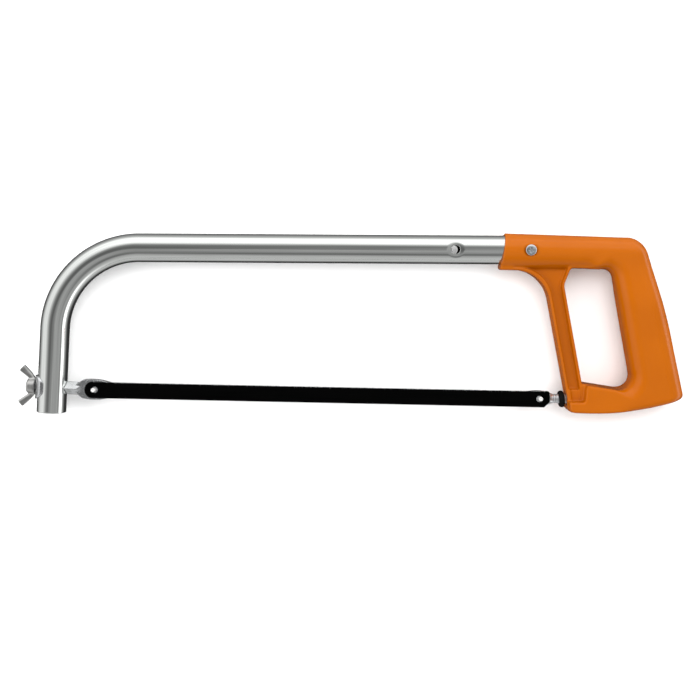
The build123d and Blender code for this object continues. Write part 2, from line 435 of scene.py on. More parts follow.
def chrome_finish():
    """Bright plate over a drawn tube: faint lines along the tube and small cloudy patches."""
    finish = Finish("chrome_plate", metallic=1.0)
    lines = finish.noise(0.8, stretch=(60, 1, 1), attribute="grain_place")
    clouds = finish.noise(14.0)
    finish.colour(finish.spread(lines, 0, 1), (0.60, 0.615, 0.600), (0.66, 0.675, 0.660))
    finish.roughness(finish.spread(clouds, 0.05, 0.11))
    finish.bump(finish.noise(3.0, stretch=(40, 1, 1), detail=1.0, attribute="grain_place"), 0.010)
    return finish.material


def enamel_finish():
    """Glossy orange enamel over a casting, with a slight orange-peel skin."""
    finish = Finish("orange_enamel", coat=0.3, coat_roughness=0.06, specular=0.05)
    tone = finish.noise(26.0)
    finish.colour(finish.spread(tone, 0, 1), (0.351, 0.081, 0.0004), (0.371, 0.087, 0.0004))
    finish.roughness(finish.spread(finish.noise(6.0), 0.20, 0.27))
    finish.bump(finish.noise(2.2, detail=1.0), 0.006)
    return finish.material


def zinc_finish(name, rough, colour=(0.62, 0.63, 0.64), grain=0.5, height=0.004):
    """Bright zinc plate, a little cloudy."""
    finish = Finish(name, metallic=1.0)
    clouds = finish.noise(3.0)
    dull = tuple(0.86 * c for c in colour)
    finish.colour(finish.spread(clouds, 0, 1), dull, colour)
    finish.roughness(finish.spread(finish.noise(1.5), rough * 0.8, rough * 1.2))
    finish.bump(finish.noise(grain, detail=2.0), height)
    return finish.material


def rivet_finish():
    """Bright rivet ends. They are only partly metallic, so that they look as white as in the photo:
    their pale colour is partly bare steel and partly a painted sheen.
    """
    finish = Finish("rivet_painted_sheen", metallic=0.35)
    # The pale colour, seen through the diffuse part, is bare steel with a painted sheen
    finish.colour(finish.spread(finish.noise(1.2), 0, 1), (0.62, 0.62, 0.61), (0.78, 0.78, 0.77))
    finish.roughness(finish.spread(finish.noise(0.8), 0.22, 0.34))
    finish.bump(finish.noise(0.4, detail=2.0), 0.006)
    return finish.material


def black_blade_finish():
    """Thin satin black paint on rolled steel, with faint lines along the blade."""
    finish = Finish("black_blade_paint", specular=0.02)
    lines = finish.noise(0.5, stretch=(80, 1, 1))
    finish.colour(finish.spread(lines, 0, 1), (0.0003, 0.0003, 0.0003), (0.0007, 0.0007, 0.0007))
    finish.roughness(finish.spread(finish.noise(4.0), 0.42, 0.55))
    finish.bump(lines, 0.004)
    return finish.material


def rubber_finish():
    """Matt black rubber with a fine grain."""
    finish = Finish("black_rubber", specular=0.06)
    finish.colour(finish.noise(0.6), (0.0025, 0.0025, 0.0025), (0.006, 0.006, 0.006))
    finish.roughness(finish.spread(finish.noise(0.5), 0.55, 0.75))
    finish.bump(finish.noise(0.25), 0.01)
    return finish.material


# --- Frame tube ---


def tube_path(x, y):
    """The distance in XY from the tube's bent centre line, and the place along it, in mm."""
    half_angle = math.acos(float(run_direction @ leg_direction)) / 2
    reach = bend_radius / math.tan(half_angle)
    bisector = run_direction + leg_direction
    bisector = bisector / np.hypot(*bisector)
    centre = leg_corner + bisector * bend_radius / math.sin(half_angle)
    past_corner = along_line(x, y, leg_corner, run_direction)
    down_leg = along_line(x, y, leg_corner, leg_direction)
    from_run = beside_line(x, y, leg_corner, run_direction)
    from_leg = -beside_line(x, y, leg_corner, leg_direction)
    from_bend = np.hypot(x - centre[0], y - centre[1]) - bend_radius
    turn = math.pi - 2 * half_angle
    start_angle = math.atan2(*(leg_corner + leg_direction * reach - centre)[::-1])
    angle = np.arctan2(y - centre[1], x - centre[0])
    swept = (start_angle - angle) % (2 * math.pi)
    on_bend = (swept <= turn) & (from_bend > -bend_radius)
    on_run = ~on_bend & (past_corner > down_leg)
    aside = np.where(on_bend, from_bend, np.where(on_run, from_run, from_leg))
    bend_length = bend_radius * turn
    along = np.where(on_run, bend_length + past_corner - reach, -(down_leg - reach))
    along = np.where(on_bend, bend_radius * swept, along)
    return aside, along


def frame_tube_distance(x, y, z):
    """The bent tube, with its wall pressed in a little round the open cross hole."""
    radial = np.hypot(tube_path(x, y)[0], z)
    past_foot = along_line(x, y, leg_foot, leg_direction)
    past_end = along_line(x, y, tube_end, run_direction)
    from_hole = np.hypot(x - open_hole_x, y - tube_y(open_hole_x))
    dimple_depth = 0.55
    dimple = dimple_depth * (1 - ease(from_hole, 2.6, 6.2))
    outer = radial - tube_radius + dimple
    inner = radial - tube_radius + tube_wall + dimple
    ends = np.maximum(past_foot, past_end)
    wall = cut(both(outer, ends, 0.3), inner, 0.3)
    for hole_x in (open_hole_x, screw_x):
        hole = np.hypot(x - hole_x, y - tube_y(hole_x)) - cross_hole_radius
        wall = cut(wall, hole, 0.35)
    # The bolt's shank enters the leg through a square hole on edge, in the wall towards the
    # blade, and its stud leaves through a round hole in the outer wall
    u, v = along_bolt(x, y)
    leg_middle = -30.0
    stud_hole = both(np.hypot(v, z) - bolt_hole_radius, u - leg_middle)
    shank_hole = both(edge_square(v, z, shank_half + 0.45, 0.5), leg_middle - u)
    wall = cut(wall, stud_hole, 0.25)
    return cut(wall, shank_hole, 0.25)


def edge_square(v, z, half_side, radius):
    """A square that stands on edge in the bolt's cross-section."""
    return box_2d((v + z) / 2 ** 0.5, (v - z) / 2 ** 0.5, half_side, half_side, radius)


def make_frame_tube(material):
    """The tube's mesh, which also carries each point's place along the tube for the grain."""
    low = (leg_foot[0] - tube_radius - 1, leg_foot[1] - 1, -tube_radius)
    high = (tube_end[0] + 1, tube_y(tube_end[0]) + tube_radius, tube_radius)
    piece = surface_mesh("tube", frame_tube_distance, low, high, 0.62, exact_normals=True)
    points = np.empty(len(piece.data.vertices) * 3)
    piece.data.vertices.foreach_get("co", points)
    x, y, z = (points.reshape(-1, 3) / MM - ORIGIN).T
    aside, along = tube_path(x, y)
    grain = piece.data.attributes.new("grain_place", "FLOAT_VECTOR", "POINT")
    grain.data.foreach_set("vector", (np.stack((along, aside, z), axis=1) * MM).ravel())
    return fit_out(piece, "frame", "frame_tube", material)


# --- Handle ---

# Corners of the side view, each with its rounding radius, clockwise from the top of the socket
handle_corners = [
    (274.3, 111.5, 1.2),
    (367.9, 110.2, 10.0),
    (385.1, 54.7, 600.0),
    (397.1, 2.4, 2.5),
    (358.3, -8.9, 190.0),
    (319.4, -8.3, 3.6),
    (318.1, 2.2, 15.0),
    (300.9, 86.6, 24.0),
    (271.3, 86.6, 0.8),
]
opening_corners = [
    (318.8, 88.8, 3.0),
    (347.3, 88.2, 7.0),
    (363.3, 6.2, 9.0),
    (327.7, 11.2, 1.2),
    (314.4, 77.2, 8.0),
]
# Large outlines that share only the handle's back edge, and only its bottom edge
back_corners = [
    (340.1, 200.0, 1.0),
    (385.1, 54.7, 600.0),
    (416.0, -80.0, 1.0),
    (240.0, -80.0, 1.0),
    (240.0, 200.0, 1.0),
]
bottom_corners = [
    (440.0, 200.0, 1.0),
    (440.0, 14.9, 1.0),
    (358.3, -8.9, 190.0),
    (250.0, -7.3, 1.0),
    (250.0, 200.0, 1.0),
]
# The recess in each side of the pillar, from under the bar down between two narrow rims
recess_corners = [
    (280.0, 96.0, 0.5),
    (319.7, 96.0, 0.5),
    (312.6, 77.4, 9.7),
    (326.3, 7.2, 1.0),
    (318.9, 7.2, 1.0),
    (302.4, 88.3, 22.0),
    (280.0, 88.3, 0.5),
]
# The shallower step under the recess, in front of the thick foot
step_corners = [
    (320.0, 8.0, 0.5),
    (326.4, 8.0, 0.5),
    (327.6, -0.9, 0.8),
    (321.3, -0.9, 0.8),
]
# The thick foot: it reaches the front edge only below the ledge in front of the pillar
foot_corners = [
    (331.0, 24.0, 3.0),
    (328.6, -0.6, 1.5),
    (310.0, -0.6, 0.5),
    (310.0, -24.0, 1.0),
    (400.0, -24.0, 1.0),
    (400.0, 24.0, 3.0),
]
# The grip's front face leans back from this point by this angle
grip_front = (364.0, -12.0)
grip_lean = math.atan2(24.0, 124.0)
# The bar round the socket is a cone on this axis
bar_start_x = 266.0
bar_end_x = 352.0
bar_y = 98.95
bar_start_radius = 12.4
bar_end_radius = 11.2
# The bar's slanted front face
socket_front = (272.8, 99.05)
socket_slant = math.atan2(3.0, 24.9)
socket_depth_x = 304.5
socket_clearance = 0.05
# The boss round the screw's nut, on the far side
boss_radius = 6.2
boss_face = -13.4


def handle_distance():
    """The cast handle: a socket bar that runs into the grip, a thick foot and a webbed pillar."""
    side = outline_distance(handle_corners)
    opening = outline_distance(opening_corners)
    back = outline_distance(back_corners, margin=4.0)
    bottom = outline_distance(bottom_corners, margin=4.0)
    recess = outline_distance(recess_corners)
    step = outline_distance(step_corners)
    foot = outline_distance(foot_corners)

    def distance(x, y, z):
        edges = side(x, y), opening(x, y), back(x, y), bottom(x, y)
        body = bar_and_grip(x, y, z, edges, foot(x, y))
        cast = either(pillar(x, y, z, edges, recess(x, y), step(x, y)), body, 1.1)
        around_screw = np.hypot(x - screw_x, y - tube_y(screw_x))
        boss = both(around_screw - boss_radius, between(z, boss_face, -6.0), 0.6)
        cast = either(cast, boss, 1.2)
        return hollowed(cast, x, y, z)

    return distance


def bar_and_grip(x, y, z, edges, foot):
    """A round bar that widens below and behind into the thick grip and foot."""
    side, opening, back, bottom = edges
    behind = (x - grip_front[0]) * math.cos(grip_lean)
    behind = behind + (y - grip_front[1]) * math.sin(grip_lean)
    # Behind and below, the bar's round underside gives way to flat sides
    slab_share = np.maximum(ease(behind, -16.0, 4.0), ease(y, 72.0, 52.0))
    from_bar = y - bar_y
    lower = np.minimum(from_bar, 0) * (1 - slab_share)
    t = np.clip((x - bar_start_x) / (bar_end_x - bar_start_x), 0, 1)
    half = bar_start_radius + t * (bar_end_radius - bar_start_radius)
    half = half + (grip_half - half) * slab_share * ease(y, 96.0, 62.0)
    body = np.hypot(np.maximum(from_bar, 0) + lower, z) - half
    # The back is rounded more towards the foot, the bottom and the opening more at the grip
    down = ease(y, 106.0, 30.0)
    body = both(body, back - 0.4 * down, 9.8 + 2.4 * down)
    grip_share = ease(behind, -12.0, 2.0)
    body = both(body, bottom, 2.0 + 2.5 * grip_share)
    body = both(body, -opening, 1.6 + 8.4 * grip_share)
    # Only the grip and the foot are thick. At the bar's height a large value lifts that limit.
    thick = either(-behind - 7.0, foot, 8.0) - 200.0 * ease(y, 78.0, 87.0)
    thick = np.maximum(thick, side)
    body = both(body, thick, 1.8 * ease(y, 60.0, 30.0))
    front = -(x - socket_front[0]) * math.cos(socket_slant)
    front = front + (y - socket_front[1]) * math.sin(socket_slant)
    return both(body, front, 0.8)


def pillar(x, y, z, edges, recess, step):
    """The thin pillar in front of the opening, hollowed to a web between two rims."""
    side, opening = edges[:2]
    plate = np.maximum(np.maximum(side, -opening), between(x, 250.0, 338.0))
    plate = np.maximum(plate, y - 100.0)
    plate = both(plate, np.abs(z) - pillar_half, 1.3)
    plate = cut(plate, both(recess, web_half - np.abs(z), 1.6), 0.9)
    step_half = 6.4
    return cut(plate, both(step, step_half - np.abs(z), 0.6), 0.6)


def hollowed(cast, x, y, z):
    """The handle with its tube socket, its screw seats and its bore and pocket for the peg."""
    aside = beside_line(x, y, leg_corner, run_direction)
    # The wall is thinnest above the socket's inner end, so the bore narrows there: without that
    # the mesh of the wall has small holes
    narrower = 0.45 * ease(x, 284.0, 296.0)
    socket = np.hypot(aside, z) - tube_radius - socket_clearance + narrower
    cast = cut(cast, both(socket, x - socket_depth_x), 0.5)
    around_screw = np.hypot(x - screw_x, y - tube_y(screw_x))
    cast = cut(cast, np.maximum(around_screw - screw_seat_radius, screw_seat - z), 0.4)
    cast = cut(cast, around_screw - 2.0, 0.1)
    clearance = 0.07
    hexagon = hexagon_distance(x - screw_x, y - tube_y(screw_x), nut_half_width + clearance)
    cast = cut(cast, np.maximum(hexagon, z - nut_seat), 0.3)
    bore = both(np.hypot(y - peg_y, z) - peg_radius - clearance, between(x, 300.0, 326.0))
    cast = cut(cast, bore, 0.5)
    pocket_middle = 329.75
    pocket_half_length = 4.75
    pocket_half_height = 5.8
    pocket_top = 5.7
    pocket = box_2d(x - pocket_middle, y - peg_y, pocket_half_length, pocket_half_height, 0.6)
    return cut(cast, both(pocket, z - pocket_top, 0.5), 0.8)


def hexagon_distance(x, y, half_width):
    """A regular hexagon about the origin, given by half the distance across its flats."""
    away = np.abs(x)
    for angle in (math.pi / 3, -math.pi / 3):
        away = np.maximum(away, np.abs(x * math.cos(angle) + y * math.sin(angle)))
    return away - half_width


def make_handle(material):
    low = (269.0, -10.0, -grip_half)
    high = (397.5, 113.0, grip_half)
    piece = surface_mesh("cast_handle", handle_distance(), low, high, 0.7)
    return fit_out(piece, "frame", "handle", material)


# --- Tension bolt, wing nut and washer ---


def oval_head(u, v, start, end, width):
    """A flat head in side view: two shallow arcs that would meet beyond its ends."""
    nose = 0.67 * width
    half_length = (end - start) / 2 + nose
    arc = (half_length ** 2 + (width / 2) ** 2) / width
    middle = (start + end) / 2
    upper = np.hypot(u - middle, v + arc - width / 2) - arc
    lower = np.hypot(u - middle, v - arc + width / 2) - arc
    return both(np.maximum(upper, lower), between(u, start, end), 0.8)


def tension_bolt_distance(x, y, z):
    """A threaded stud, a square shank on edge and a flat oval head, in one forging."""
    u, v = along_bolt(x, y)
    stud = np.hypot(v, z) - stud_radius - bolt_thread(u, v, z)
    stud = both(stud, between(u, stud_start, shank_start + 0.5), 0.4)
    shank = both(edge_square(v, z, shank_half, 0.3), between(u, shank_start, shank_end), 0.3)
    half = head_thickness / 2
    # A sloping facet on each side brings the shank down to the head's thickness
    facet_end = -10.3
    facet_slope = 0.8
    facet = np.abs(z) - half - facet_slope * (facet_end - u)
    shank = both(shank, facet / math.hypot(1, facet_slope), 0.25)
    # The head starts with a shallow curve across the shank
    head_start = 0.13 * v ** 2 - 13.3 - u
    side_view = oval_head(u, v, start=-14.0, end=11.6, width=13.6)
    head = both(both(side_view, head_start, 0.3), np.abs(z) - half, 0.45)
    return either(either(stud, shank, 0.2), head, 0.5)


def make_tension_bolt(material):
    low = (-48.0, -7.5, -4.6)
    high = (12.5, 7.5, 4.6)
    piece = surface_mesh("holder_bolt", tension_bolt_distance, low, high, 0.22)
    return fit_out(piece, "bolt", "tension_bolt", material)


# Side view of the upper wing, from the hub out to the tip and back
wing_corners = [
    (-42.2, 0.5, 0.3),
    (-44.2, 4.6, 1.5),
    (-52.0, 10.3, 0.8),
    (-48.8, 14.1, 0.9),
    (-43.2, 8.5, 12.0),
    (-40.7, 5.0, 0.3),
    (-40.6, 0.5, 0.2),
]
wing_half = 1.5
bevel_depth = 0.62


def wing_nut_distance():
    """The cast nut: a round hub, two wings with bevelled edges and a thread."""
    wing = outline_distance(wing_corners, margin=14.0, pitch=0.1)

    hub_radius = 5.3
    hub_taper = 0.6
    bore_radius = stud_radius + thread_clearance
    mouth_radius = 3.4

    def distance(x, y, z):
        u, v = along_bolt(x, y)
        from_axis = np.hypot(v, z)
        share = np.clip((nut_face - u) / (nut_face - nut_end), 0, 1)
        hub = from_axis - hub_radius + hub_taper * share
        hub = both(hub, between(u, nut_end, nut_face), 1.5)
        wings = both(wing(u, np.abs(v)), np.abs(z) - wing_half, 0.5)
        wings = both(wings, wing_bevel(u, v, z), 0.3)
        nut = either(hub, wings, 1.2)
        nut = both(nut, u - nut_face, 0.2)
        nut = cut(nut, from_axis - bore_radius - bolt_thread(u, v, z), 0.15)
        countersink = from_axis - mouth_radius + 0.8 * (u - nut_end)
        return cut(nut, countersink, 0.2)

    return distance


def wing_bevel(u, v, z):
    """The bevel of each wing: on the near face along the upper wing's edge towards the tube and
    the lower wing's other edge, and the opposite way round on the far face."""
    side = np.where(z < 0, -v, v)
    past_tube_edge = (u + 48.8) * 0.740 + (side - 14.1) * 0.673
    past_free_edge = -(u + 44.2) * 0.590 + (side + 4.6) * 0.807
    past_edge = np.where(side > 0, past_tube_edge, past_free_edge)
    return past_edge * 0.53 + (np.abs(z) - wing_half) * 0.85 + bevel_depth


def make_wing_nut(material):
    low = (-53.5, -16.0, -6.5)
    high = (-39.8, 14.5, 6.5)
    piece = surface_mesh("wing_nut_casting", wing_nut_distance(), low, high, 0.24)
    return fit_out(piece, "nut", "wing_nut", material)


def saddle_washer_distance(x, y, z):
    """A shell round the leg with a rounded rectangular rim and a hole for the bolt."""
    thickness = 1.4
    half_width = 9.2
    half_height = 7.8
    corner_radius = 5.5
    radial = np.hypot(tube_path(x, y)[0], z)
    u, v = along_bolt(x, y)
    shell = between(radial, tube_radius + 0.02, tube_radius + thickness)
    rim = box_2d(z, v, half_width, half_height, corner_radius)
    washer = both(both(shell, rim, 0.35), u + 28.0)
    return cut(washer, np.hypot(v, z) - bolt_hole_radius, 0.3)


def make_saddle_washer(material):
    low = (-42.0, -7.5, -11.0)
    high = (-29.0, 10.5, 11.0)
    piece = surface_mesh("curved_washer", saddle_washer_distance, low, high, 0.25)
    return fit_out(piece, "frame", "saddle_washer", material)


# --- Blade holders ---


def pin_distance(pin_x, pin_y, lean):
    """A riveted pin that leans along X: a slightly tapered post with a punched dimple in its end."""
    low = -head_thickness / 2
    head_top = head_thickness / 2
    height = 3.3
    top = head_top + height
    radius = 1.6
    taper = 0.2
    dimple_radius = 0.75

    def distance(x, y, z):
        share = np.clip((z - head_top) / height, 0, 1)
        from_axis = np.hypot(x - pin_x - lean * share, y - pin_y)
        post = both(from_axis - radius + taper * share, between(z, low, top), 0.45)
        dimple = np.hypot(from_axis, z - top - 0.35) - dimple_radius
        return cut(post, dimple, 0.12)

    return distance


def make_pin(name, body, node, x, y, lean, material):
    """A pin at a place in the drawing frame, on the same body as its head."""
    distance = pin_distance(x, y, lean)
    piece = surface_mesh(name, distance, (x - 2, y - 2, -2.7), (x + 2, y + 2, 6.0), 0.14)
    return fit_out(piece, body, node, material)


def rear_peg_distance(x, y, z):
    """A round stem with two grooves, a flared collar and a flat oval head."""
    y = y - peg_y
    from_axis = np.hypot(y, z)
    grooves = 0.0
    groove_depth = 0.42
    for groove_x in (309.8, 311.5):
        grooves = grooves + groove_depth * np.exp(-((x - groove_x) / 0.34) ** 2)
    stem = both(from_axis - peg_radius + grooves, between(x, 303.0, peg_end), 0.5)
    collar_radius = 3.1 + 1.3 * ease(x, 308.9, 306.0)
    collar = both(from_axis - collar_radius, between(x, 305.5, 309.0), 0.3)
    half = head_thickness / 2
    side_view = oval_head(x, y, start=290.5, end=306.5, width=10.4)
    head = both(side_view, np.abs(z) - half, 0.45)
    peg = either(either(stem, collar, 0.3), head, 0.5)
    # The near side is cut level with the head as far as the collar
    peg = cut(peg, np.maximum(half - z, x - 307.2), 0.15)
    clip_groove = both(between(x, clip_start, clip_end), groove_radius - from_axis)
    return cut(peg, clip_groove, 0.05)


def make_rear_peg(material):
    low = (290, -5.5, -4.5)
    high = (329.5, 6, 4.5)
    piece = surface_mesh("peg_casting", rear_peg_distance, low, high, 0.22)
    return fit_out(piece, "peg", "rear_peg", material)


def peg_ring_distance(x, y, z):
    """A rubber ring that leans against the slanted front of the foot."""
    back_x = 317.0
    thickness = 3.8
    outer_radius = 5.6
    hole_radius = 3.4
    lean = math.radians(6.5)
    dx = x - back_x
    dy = y - peg_y
    along = dx * math.cos(lean) + dy * math.sin(lean)
    across = -dx * math.sin(lean) + dy * math.cos(lean)
    radial = np.hypot(across, z)
    ring = both(radial - outer_radius, between(along, -thickness, 0.0), 1.75)
    return cut(ring, np.hypot(dy, z) - hole_radius, 0.3)


def make_peg_ring(material):
    low = (311.5, -6, -6)
    high = (318, 6.5, 6)
    piece = surface_mesh("rubber_ring", peg_ring_distance, low, high, 0.22)
    return fit_out(piece, "frame", "peg_ring", material)


def peg_clip_distance(x, y, z):
    """A flat spring clip: a ring open on one side, with two small holes."""
    outer_radius = 5.2
    hole_ring_radius = 3.9
    hole_radius = 0.75
    y = y - peg_y
    from_axis = np.hypot(y, z)
    ring = between(from_axis, groove_radius, outer_radius)
    mouth = both(np.abs(y) - 2.2, -z)
    ring = cut(ring, mouth, 0.4)
    for angle in (210, 330):
        hole_y = hole_ring_radius * math.cos(math.radians(angle))
        hole_z = hole_ring_radius * math.sin(math.radians(angle))
        ring = cut(ring, np.hypot(y - hole_y, z - hole_z) - hole_radius, 0.2)
    return both(ring, between(x, clip_start, clip_end), 0.12)


def make_peg_clip(material):
    low = (325, -5.5, -5.5)
    high = (326.2, 5.8, 5.5)
    piece = surface_mesh("spring_clip", peg_clip_distance, low, high, 0.16)
    return fit_out(piece, "peg", "peg_clip", material)


# --- Screw and nut ---


def handle_screw_distance(x, y, z):
    """A pan head screw with a cross recess and a thread on its far half."""
    x, y = x - screw_x, y - tube_y(screw_x)
    from_axis = np.hypot(x, y)
    head_top = 13.5
    dome_radius = 9.0
    dome = np.hypot(from_axis, z - 13.4 + dome_radius) - dome_radius
    head = both(from_axis - screw_head_radius, between(z, screw_seat, head_top), 0.7)
    head = both(head, dome, 0.5)
    pitch = 0.7
    thread = 0.12 * np.cos(2 * math.pi * z / pitch - np.arctan2(y, x)) * ease(z, 2.0, 0.0)
    recess_floor = screw_seat + 0.6
    shank = both(from_axis - screw_radius - thread, between(z, screw_end, recess_floor), 0.3)
    screw = either(head, shank, 0.1)
    # The cross recess narrows with depth
    depth = np.clip((head_top - z) / 2.0, 0, 1)
    arm = 2.15 - 0.9 * depth
    width = 0.62 - 0.2 * depth
    cross = np.minimum(box_2d(x, y, arm, width, 0.1), box_2d(x, y, width, arm, 0.1))
    cross = np.minimum(cross, from_axis - 1.1 + 0.6 * depth)
    return cut(screw, np.maximum(cross, recess_floor - z), 0.12)


def make_handle_screw(material):
    y = tube_y(screw_x)
    low = (screw_x - 3.8, y - 3.8, -13.7)
    high = (screw_x + 3.8, y + 3.8, 13.5)
    piece = surface_mesh("pan_head_screw", handle_screw_distance, low, high, 0.16)
    return fit_out(piece, "frame", "handle_screw", material)


def handle_nut_distance(x, y, z):
    """A hexagon nut with its corners turned off on the outer face."""
    x, y = x - screw_x, y - tube_y(screw_x)
    from_axis = np.hypot(x, y)
    hexagon = hexagon_distance(x, y, nut_half_width)
    nut = both(hexagon, between(z, nut_outer_face, nut_seat), 0.2)
    chamfer = (from_axis - 3.7 - 1.7 * (z - nut_outer_face)) / 2.0
    nut = both(nut, chamfer, 0.1)
    return cut(nut, from_axis - screw_radius - 0.13, 0.25)


def make_handle_nut(material):
    y = tube_y(screw_x)
    low = (screw_x - 4.1, y - 4.1, -14.0)
    high = (screw_x + 4.1, y + 4.1, -10.8)
    piece = surface_mesh("hexagon_nut", handle_nut_distance, low, high, 0.18)
    return fit_out(piece, "frame", "handle_nut", material)


# --- Blade ---

teeth_per_inch = 24
tooth_pitch = 25.4 / teeth_per_inch
tooth_depth = 0.75
# The set: the row of teeth waves from side to side
wave_length = 5.4
wave_height = 0.34


def blade_outline():
    """Points round the blade's side view: teeth along the upper edge, a bevelled rear end."""
    half = blade_width / 2
    right = blade_pitch + blade_end
    gum = half - tooth_depth
    points = []
    first = -blade_end + half + 0.4
    count = int((right - 3.2 - first) / tooth_pitch)
    for i in range(count):
        start = first + i * tooth_pitch
        points.append((start, gum))
        points.append((start + 0.22 * tooth_pitch, gum + 0.06))
        points.append((start + 0.86 * tooth_pitch, half))
        points.append((start + 0.94 * tooth_pitch, half))
    points.append((first + count * tooth_pitch, gum))
    end = rounded_outline([
        (first + (count + 1) * tooth_pitch, half - 0.2, 0.3),
        (right, half - 0.2, 1.8),
        (right, -half + 3.6, 0.6),
        (right - 3.6, -half, 0.6),
        (-blade_end, -half, half * 0.98),
        (-blade_end, half, half * 0.98),
    ])
    return np.array(points + [tuple(point) for point in end][2:-6] + [(first - 0.8, half - 0.25)])


def circle_points(x, radius, count):
    """Points round a circle about (x, 0)."""
    angles = 2 * math.pi * np.arange(count) / count
    return np.stack((x + radius * np.cos(angles), radius * np.sin(angles)), axis=1)


def blade_faces():
    """The blade's side view as triangles, with rows of points below the teeth to carry the set."""
    half = blade_width / 2
    outline = blade_outline()
    holes = [circle_points(x, blade_hole_radius, 40) for x in (0.0, blade_pitch)]
    points, edges = [], []
    for ring in [outline] + holes:
        start = len(points)
        points += [Vector(point) for point in ring]
        edges += [(start + i, start + (i + 1) % len(ring)) for i in range(len(ring))]
    for depth in (1.3, 2.0, 3.0, 4.2):
        for x in np.arange(-blade_end + half, blade_pitch + 3.0, 0.6):
            clear = min(math.hypot(x, half - depth), math.hypot(x - blade_pitch, half - depth))
            if clear > blade_hole_radius + 0.4:
                points.append(Vector((x, half - depth)))
    made = delaunay_2d_cdt(points, edges, [], 1, 1e-5)
    flat = np.array([tuple(point) for point in made[0]])
    triangles = []
    for face in made[2]:
        middle = flat[list(face)].mean(0)
        from_hole = min(math.hypot(middle[0] - x, middle[1]) for x in (0.0, blade_pitch))
        if from_hole > blade_hole_radius * 0.98:
            triangles.append(tuple(face))
    return flat, triangles


def make_blade(material):
    """Two copies of the side view, one blade thickness apart, joined round every edge."""
    flat, triangles = blade_faces()
    half = blade_width / 2
    near_teeth = ease(flat[:, 1], half - 3.6, half - 0.4)
    # The set stops short of the two holder heads, so the blade lies flat on them
    fade = ease(flat[:, 0], 11.0, 18.0) * ease(flat[:, 0], blade_pitch - 9.0, blade_pitch - 16.0)
    wave = wave_height * np.sin(2 * math.pi * flat[:, 0] / wave_length) * near_teeth * fade
    count = len(flat)
    lower = np.column_stack((flat, blade_low + wave))
    upper = np.column_stack((flat, blade_low + blade_thickness + wave))
    faces = [tuple(reversed(face)) for face in triangles]
    faces += [tuple(i + count for i in face) for face in triangles]
    edge_use = {}
    for face in triangles:
        for a, b in zip(face, face[1:] + face[:1]):
            edge_use[(a, b)] = edge_use.get((a, b), 0) + 1
    for a, b in edge_use:
        if (b, a) not in edge_use:
            faces.append((a, b, b + count, a + count))
    piece = mesh_object("toothed_blade", np.concatenate((lower, upper)), faces)
    piece.data.set_sharp_from_angle(angle=math.radians(35))
    return fit_out(piece, "blade", "blade", material)


# --- Studio ---

# The camera looks straight down: its place in the drawing frame and its lens in mm, its turn in
# degrees, and its shift as a share of the picture
camera_place = np.array((170.35, 91.72, 750.0))
camera_turn = 1.18
camera_lens = 56.98
camera_shift = -0.13


def make_camera():
    """The camera of the main picture, at the photo's viewing angle."""
    data = bpy.data.cameras.new("camera")
    data.lens = camera_lens
    data.sensor_width = 36.0
    data.shift_y = camera_shift
    data.clip_start = 0.01
    data.clip_end = 50.0
    camera = bpy.data.objects.new("camera", data)
    camera.location = (camera_place + ORIGIN) * MM
    camera.rotation_euler = (0, 0, math.radians(camera_turn))
    bpy.context.scene.collection.objects.link(camera)
    bpy.context.scene.camera = camera


def make_floor():
    """A pale sheet just under the saw, which the chrome doesn't mirror."""
    size = 6.0
    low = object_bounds()[0].z - 0.0002
    mesh = bpy.data.meshes.new("floor")
    corners = [(-size, -size, low), (size, -size, low), (size, size, low), (-size, size, low)]
    mesh.from_pydata(corners, [], [(0, 1, 2, 3)])
    floor = bpy.data.objects.new("floor", mesh)
    bpy.context.scene.collection.objects.link(floor)
    finish = Finish("pale_floor", specular=0.2)
    finish.colour(finish.noise(400.0), (0.94, 0.94, 0.94), (0.96, 0.96, 0.96))
    finish.roughness(finish.spread(finish.noise(90.0), 0.6, 0.7))
    mesh.materials.append(finish.material)
    floor.visible_glossy = False


def softbox(name, place, size, radiance):
    """A square lamp that lights the saw and the floor but isn't mirrored in the chrome."""
    data = bpy.data.lights.new(name, "AREA")
    data.size = size
    data.energy = radiance * math.pi * size ** 2
    lamp = bpy.data.objects.new(name, data)
    lamp.location = place
    lamp.rotation_euler = (-Vector(place)).to_track_quat("-Z", "Y").to_euler()
    lamp.visible_camera = False
    lamp.visible_glossy = False
    bpy.context.scene.collection.objects.link(lamp)


# The light tent that the chrome mirrors, set to match the bands in the photo. Each side of it is
# a list of (degrees down from straight up, brightness).
tent_right = [(0, 0.28), (15, 0.5), (45, 0.45), (57, 0.55), (62, 0.25), (72, 0.7), (77, 3.0), (90, 3.0)]
tent_right += [(98, 0.9), (113, 0.28), (126, 0.05), (165, 0.04), (180, 0.12)]
tent_left = [(0, 0.28), (12, 0.16), (22, 0.16), (34, 0.36), (44, 0.7), (55, 1.15), (85, 1.1), (98, 0.7)]
tent_left += [(113, 0.27), (130, 0.08), (180, 0.12)]
tent_back = [(0, 0.26), (20, 0.26), (29, 0.5), (37, 1.1), (46, 1.7), (84, 1.7), (94, 0.95), (106, 0.6)]
tent_back += [(120, 0.42), (139, 0.24), (160, 0.06), (180, 0.12)]
tent_front = [(0, 0.28), (4, 0.26), (12, 0.5), (27, 0.4), (37, 0.25), (46, 0.2), (55, 0.45), (64, 0.64)]
tent_front += [(108, 0.72), (120, 0.45), (132, 0.06), (165, 0.04), (180, 0.12)]
tent_scale = 4.0


